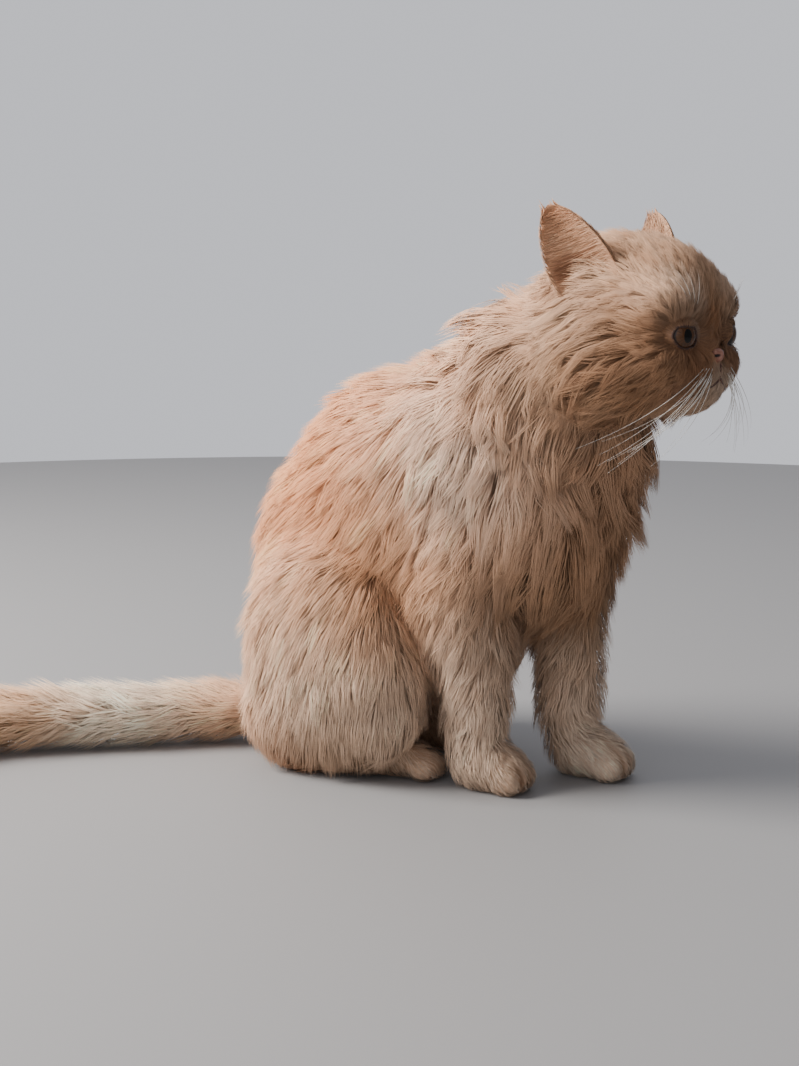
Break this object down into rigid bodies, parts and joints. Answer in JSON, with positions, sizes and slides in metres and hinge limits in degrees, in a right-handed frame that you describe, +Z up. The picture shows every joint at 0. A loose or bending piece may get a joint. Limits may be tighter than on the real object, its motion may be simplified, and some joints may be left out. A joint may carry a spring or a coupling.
{
  "type": "persian cat",
  "caption": "Sitting long-haired persian cat, head turned a little aside, fore legs upright and the bushy tail laid back along the floor.",
  "frame": {"origin": "centre of the bounding box, on the floor under the soles", "axes": "+X the way the cat's chest faces, +Y the cat's left side, +Z up"},
  "size_m": [0.5539, 0.3258, 0.3823],
  "materials": {
    "coat": "long soft peach fur",
    "pale_coat": "long soft cream fur",
    "face_coat": "soft fawn fur",
    "short_coat": "short fawn fur",
    "tail_coat": "long orange fur",
    "eye": "wet copper eye"
  },
  "bodies": {
    "root": {"head": "face_coat", "ear_right": "short_coat", "ear_left": "short_coat", "eye_right": "eye", "eye_left": "eye", "neck": "pale_coat", "torso": "coat", "foreleg_right": "coat", "foreleg_left": "coat", "forepaw_right": "short_coat", "forepaw_left": "short_coat", "thigh_right": "pale_coat", "thigh_left": "pale_coat", "hindpaw_right": "short_coat", "hindpaw_left": "short_coat", "tail_root": "tail_coat", "tail_middle": "tail_coat", "tail_tip": "tail_coat"}
  },
  "joints": []
}
